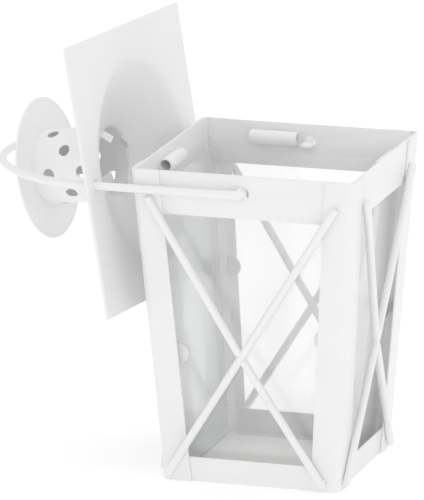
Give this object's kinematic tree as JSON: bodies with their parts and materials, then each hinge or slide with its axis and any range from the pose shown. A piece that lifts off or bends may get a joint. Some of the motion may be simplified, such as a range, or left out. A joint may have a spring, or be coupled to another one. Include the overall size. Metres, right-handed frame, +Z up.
{
  "type": "hurricane candle lantern",
  "caption": "Tapered sheet-metal candle lantern with glass sides, crossed wire braces, a bail handle and a lid with a vented chimney that rides on the handle.",
  "frame": {"origin": "middle of the base, on the surface that the lantern stands on", "axes": "+Z up; -Y is the front; the opened handle and lid lie towards -X"},
  "size_m": [0.2526, 0.177, 0.2747],
  "materials": {
    "painted_steel": "white satin paint on sheet steel",
    "painted_wire": "white satin paint on steel wire",
    "floor_steel": "thinly painted sheet, greyer than the outside",
    "clear_glass": "clear float glass with cut green edges"
  },
  "bodies": {
    "lantern_body": {"base_band_back": "painted_steel", "base_band_front": "painted_steel", "base_band_left": "painted_steel", "base_band_right": "painted_steel", "brace_back_long": "painted_wire", "brace_back_lower": "painted_wire", "brace_back_upper": "painted_wire", "brace_front_long": "painted_wire", "brace_front_lower": "painted_wire", "brace_front_upper": "painted_wire", "brace_left_long": "painted_wire", "brace_left_lower": "painted_wire", "brace_left_upper": "painted_wire", "brace_right_long": "painted_wire", "brace_right_lower": "painted_wire", "brace_right_upper": "painted_wire", "corner_clip_back_left": "painted_steel", "corner_clip_back_right": "painted_steel", "corner_clip_front_left": "painted_steel", "corner_clip_front_right": "painted_steel", "floor_plate": "floor_steel", "glass_pane_back": "clear_glass", "glass_pane_front": "clear_glass", "glass_pane_left": "clear_glass", "glass_pane_right": "clear_glass", "pane_keeper_back": "painted_steel", "pane_keeper_front": "painted_steel", "pane_keeper_left": "painted_steel", "pane_keeper_right": "painted_steel", "post_back_left": "painted_steel", "post_back_right": "painted_steel", "post_front_left": "painted_steel", "post_front_right": "painted_steel", "top_band_back": "painted_steel", "top_band_front": "painted_steel", "top_band_left": "painted_steel", "top_band_right": "painted_steel"},
    "bail_handle": {"handle": "painted_wire"},
    "vented_lid": {"lid_plate": "painted_steel", "chimney": "painted_steel", "rain_cap": "painted_steel", "lid_eyelet_front": "painted_steel", "lid_eyelet_back": "painted_steel"}
  },
  "joints": [
    {"name": "handle_swing", "type": "hinge", "parent": "lantern_body", "child": "bail_handle", "pos_m": [0, 0, 0.1885], "axis": [0, 1, 0], "range_deg": [0, 180]},
    {"name": "lid_tilt", "type": "hinge", "parent": "bail_handle", "child": "vented_lid", "pos_m": [-0.08625, 0, 0.1885], "axis": [0.0903, 0.9959, 0], "range_deg": [0, 18]}
  ]
}
